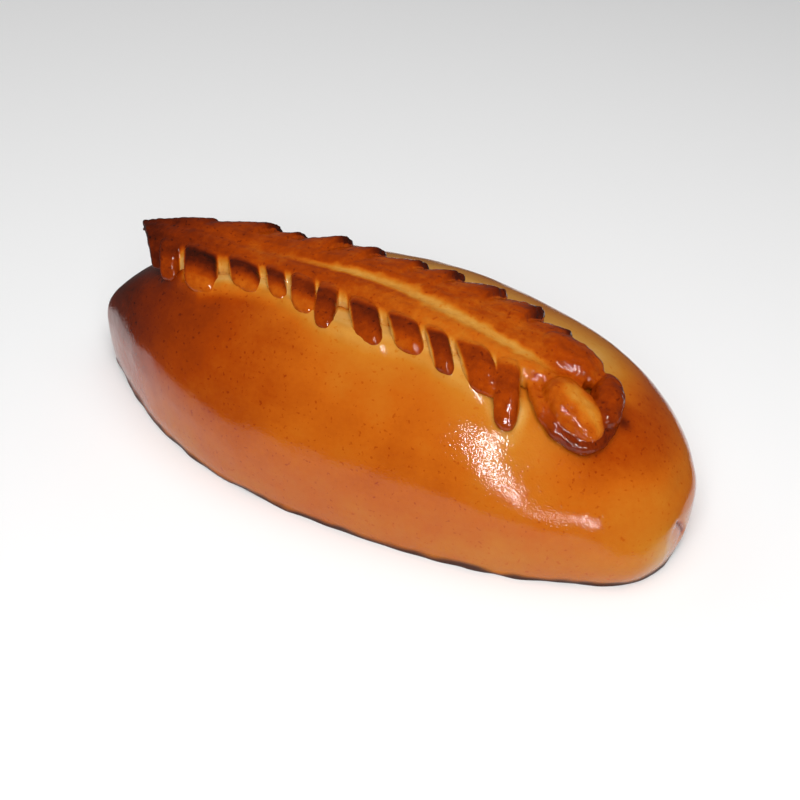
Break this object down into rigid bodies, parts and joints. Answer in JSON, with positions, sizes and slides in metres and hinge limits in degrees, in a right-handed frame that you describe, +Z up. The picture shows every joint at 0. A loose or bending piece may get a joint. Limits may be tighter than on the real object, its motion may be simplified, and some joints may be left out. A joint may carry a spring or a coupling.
{
  "type": "chicken kulebyaka",
  "caption": "Closed boat-shaped chicken pie of glazed yeast dough with a flat base and a snipped strip of dough along its ridge, pointed at the far end and rolled into a knob at the other.",
  "frame": {"origin": "centre of the bounding box at the height of the flat base", "axes": "+X along the pie from its pointed far end to its blunt end with the knob, +Y away from the side with the small tabs, +Z up"},
  "size_m": [0.276, 0.131, 0.0862],
  "materials": {
    "baked_crust": "egg-glazed baked yeast dough, golden brown, darker at the far tip and along the base",
    "baked_strip": "egg-glazed baked yeast dough, dark brown on the tabs and pale in the snips"
  },
  "bodies": {
    "root": {"pie_crust": "baked_crust", "dough_strip": "baked_strip"}
  },
  "joints": []
}
